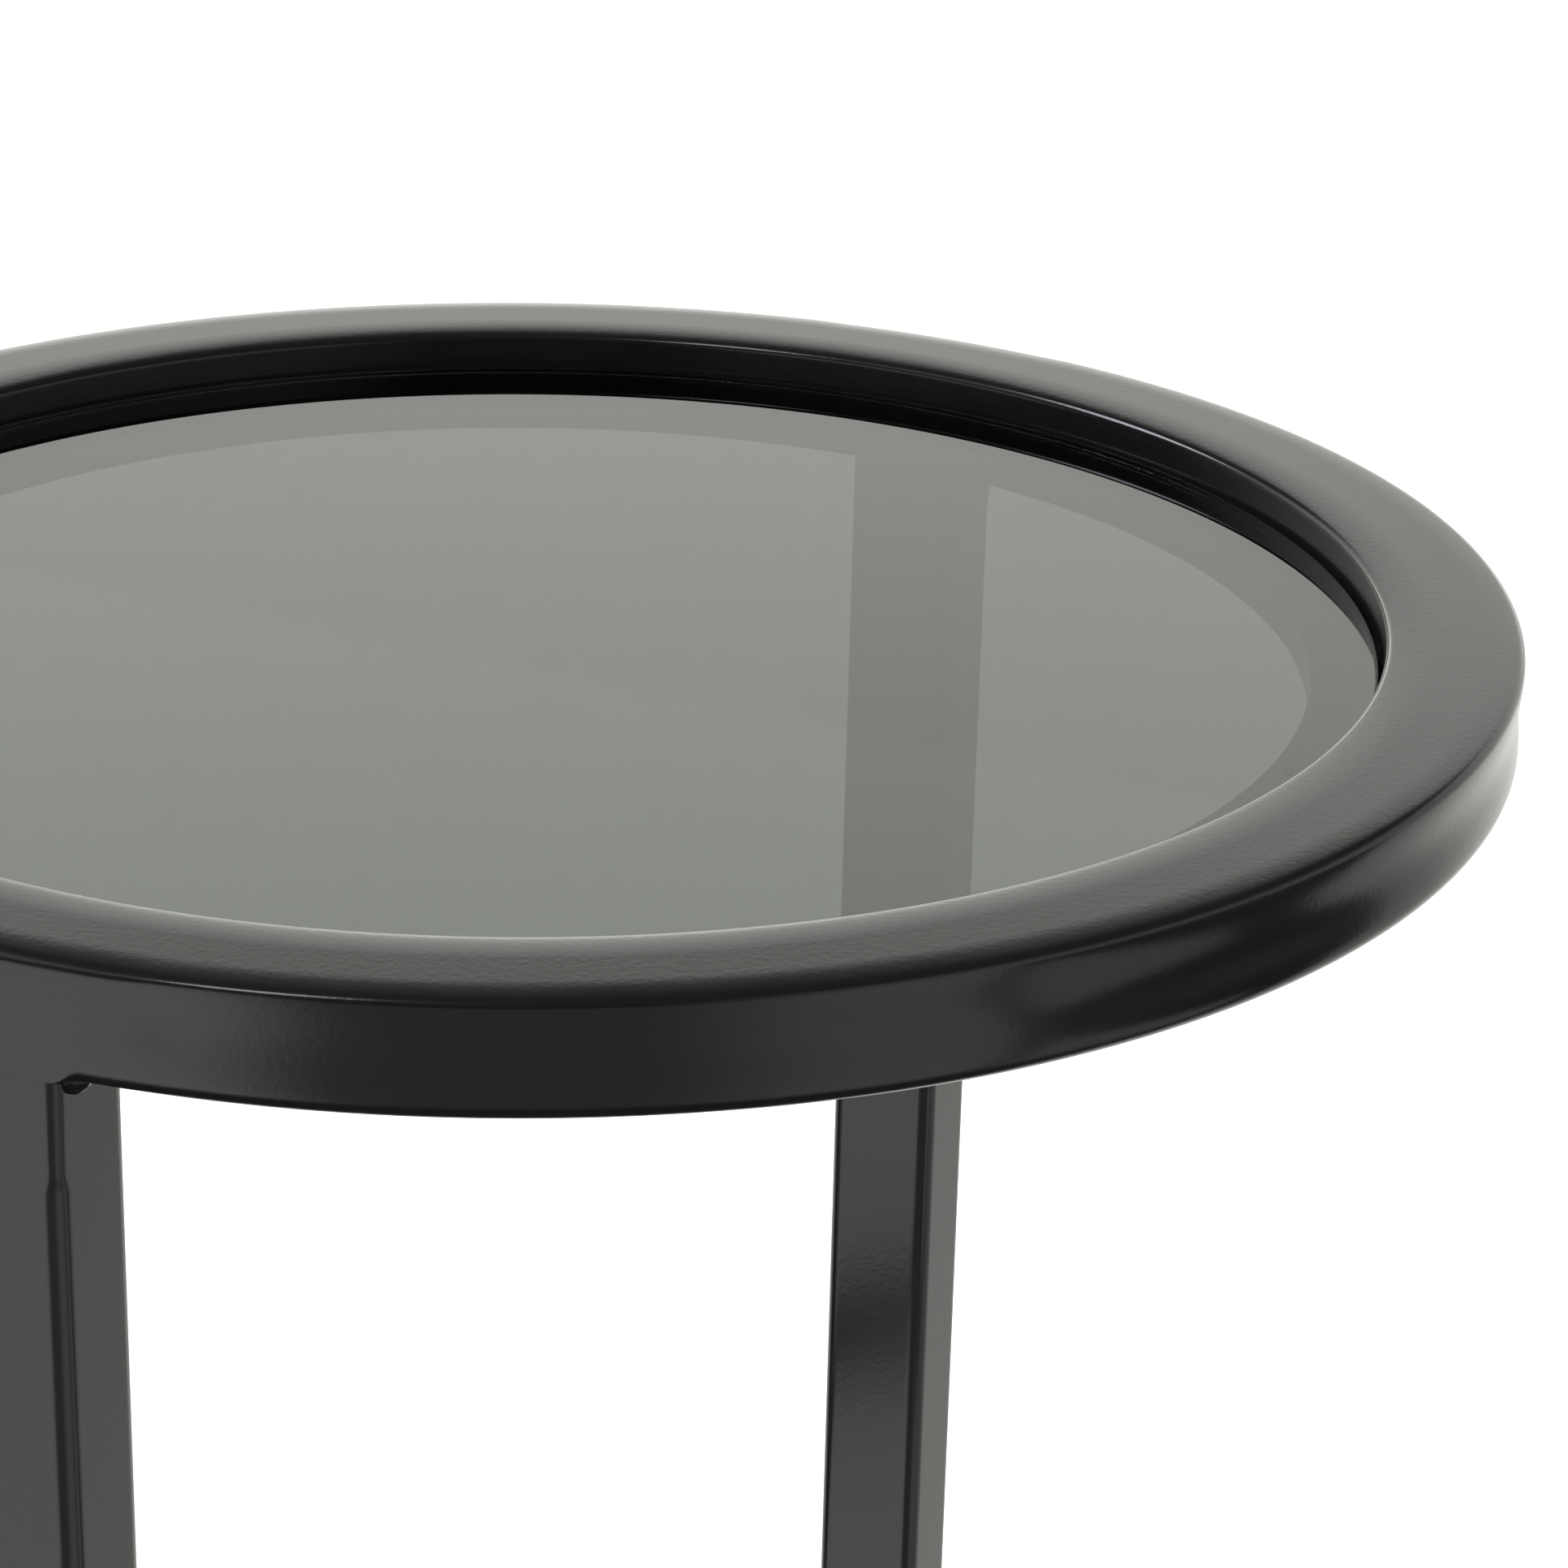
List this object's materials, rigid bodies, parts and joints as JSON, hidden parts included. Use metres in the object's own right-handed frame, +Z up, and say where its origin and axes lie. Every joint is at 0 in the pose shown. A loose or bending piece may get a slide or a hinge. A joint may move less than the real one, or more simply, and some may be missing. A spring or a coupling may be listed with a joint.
{
  "type": "nesting tables",
  "caption": "Pair of round nesting side tables with black steel-tube frames and recessed smoked glass tops; the smaller slides under the larger.",
  "frame": {"origin": "on the floor, below the centre of the box round the pair as stored, with the small table pulled out in front of the large one", "axes": "+Z up; +Y from the small table towards the large one, so both open fronts face -Y; +X to the right seen from the front"},
  "size_m": [0.4404, 0.9, 0.5],
  "materials": {
    "black_powder_coat": "satin black powder coat on welded steel tube",
    "smoked_glass": "polished grey smoked tempered glass",
    "clear_pad": "soft clear pad",
    "black_plug": "fine-textured moulded plastic",
    "black_glide": "matte nylon glide"
  },
  "bodies": {
    "large_table": {"large_top_ring": "black_powder_coat", "large_glass_ledge": "black_powder_coat", "large_ledge_welds": "black_powder_coat", "large_glass_pads": "clear_pad", "large_leg_left": "black_powder_coat", "large_leg_right": "black_powder_coat", "large_leg_back": "black_powder_coat", "large_top_welds": "black_powder_coat", "large_base_ring": "black_powder_coat", "large_base_welds": "black_powder_coat", "large_base_end_caps": "black_plug", "large_floor_glides": "black_glide"},
    "large_glass": {"large_glass_top": "smoked_glass"},
    "small_table": {"small_top_ring": "black_powder_coat", "small_glass_ledge": "black_powder_coat", "small_ledge_welds": "black_powder_coat", "small_glass_pads": "clear_pad", "small_leg_left": "black_powder_coat", "small_leg_right": "black_powder_coat", "small_leg_back": "black_powder_coat", "small_top_welds": "black_powder_coat", "small_base_ring": "black_powder_coat", "small_base_welds": "black_powder_coat", "small_base_end_caps": "black_plug", "small_floor_glides": "black_glide"},
    "small_glass": {"small_glass_top": "smoked_glass"}
  },
  "joints": [
    {"name": "nest_slide", "type": "slide", "parent": "large_table", "child": "small_table", "axis": [0, 1, 0], "range_m": [0, 0.5]},
    {"name": "large_glass_lift", "type": "slide", "parent": "large_table", "child": "large_glass", "axis": [0, 0, 1], "range_m": [0, 0.15]},
    {"name": "small_glass_lift", "type": "slide", "parent": "small_table", "child": "small_glass", "axis": [0, 0, 1], "range_m": [0, 0.035]}
  ]
}
